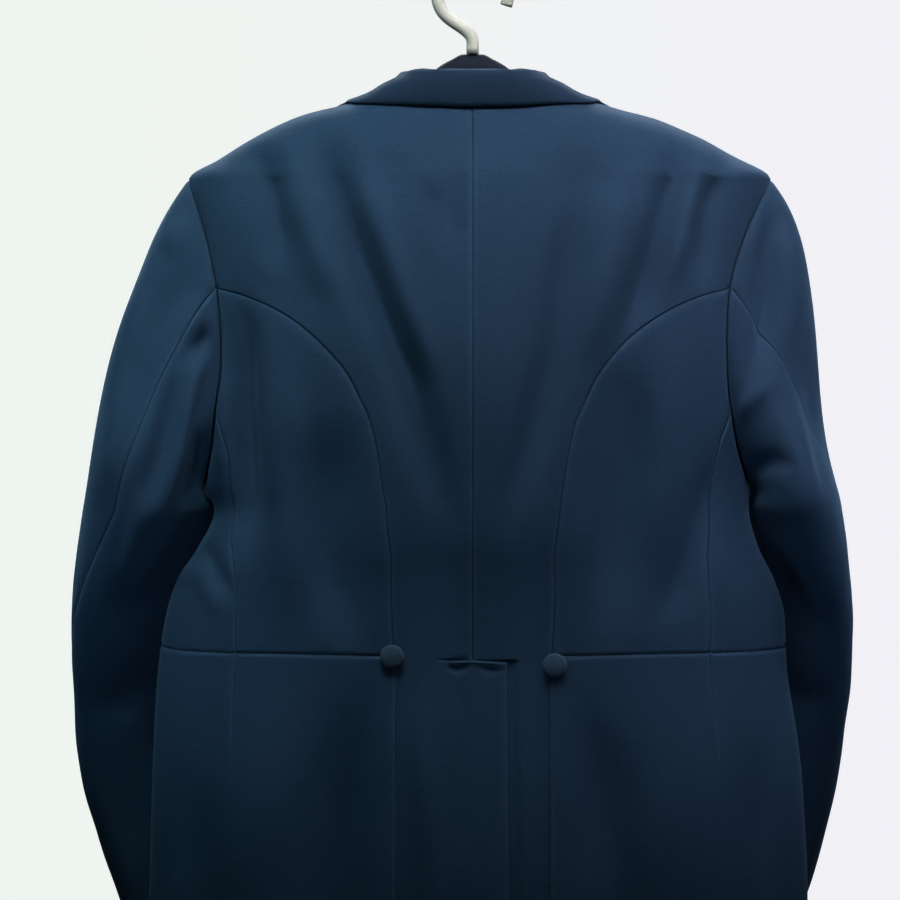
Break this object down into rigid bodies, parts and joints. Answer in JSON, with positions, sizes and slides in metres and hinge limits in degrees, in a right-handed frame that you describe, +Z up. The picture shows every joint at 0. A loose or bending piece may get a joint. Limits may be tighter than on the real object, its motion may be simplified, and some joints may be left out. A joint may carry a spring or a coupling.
{
  "type": "morning coat on a hanger",
  "caption": "Dark navy wool morning coat seen from the back, with long tails, on a plain hanger with a pale hook.",
  "frame": {"origin": "where the hook's bend rests on its rail, inside the top of the bend", "axes": "+Z is up, the coat's back faces -Y, and +X is to the right of someone who looks at its back"},
  "size_m": [0.6385, 0.2661, 1.1399],
  "materials": {
    "wool": "matte",
    "button_wool": "matte",
    "hanger_dark": "matte",
    "hook_pale": "satin"
  },
  "bodies": {
    "root": {"back_left": "wool", "back_right": "wool", "side_body_left": "wool", "side_body_right": "wool", "front_left": "wool", "front_right": "wool", "skirt_left": "wool", "skirt_right": "wool", "top_sleeve_left": "wool", "top_sleeve_right": "wool", "under_sleeve_left": "wool", "under_sleeve_right": "wool", "lapel_left": "wool", "lapel_right": "wool", "collar": "wool", "back_button_left": "button_wool", "back_button_right": "button_wool", "front_button": "button_wool", "hanger": "hanger_dark", "hook": "hook_pale"}
  },
  "joints": []
}
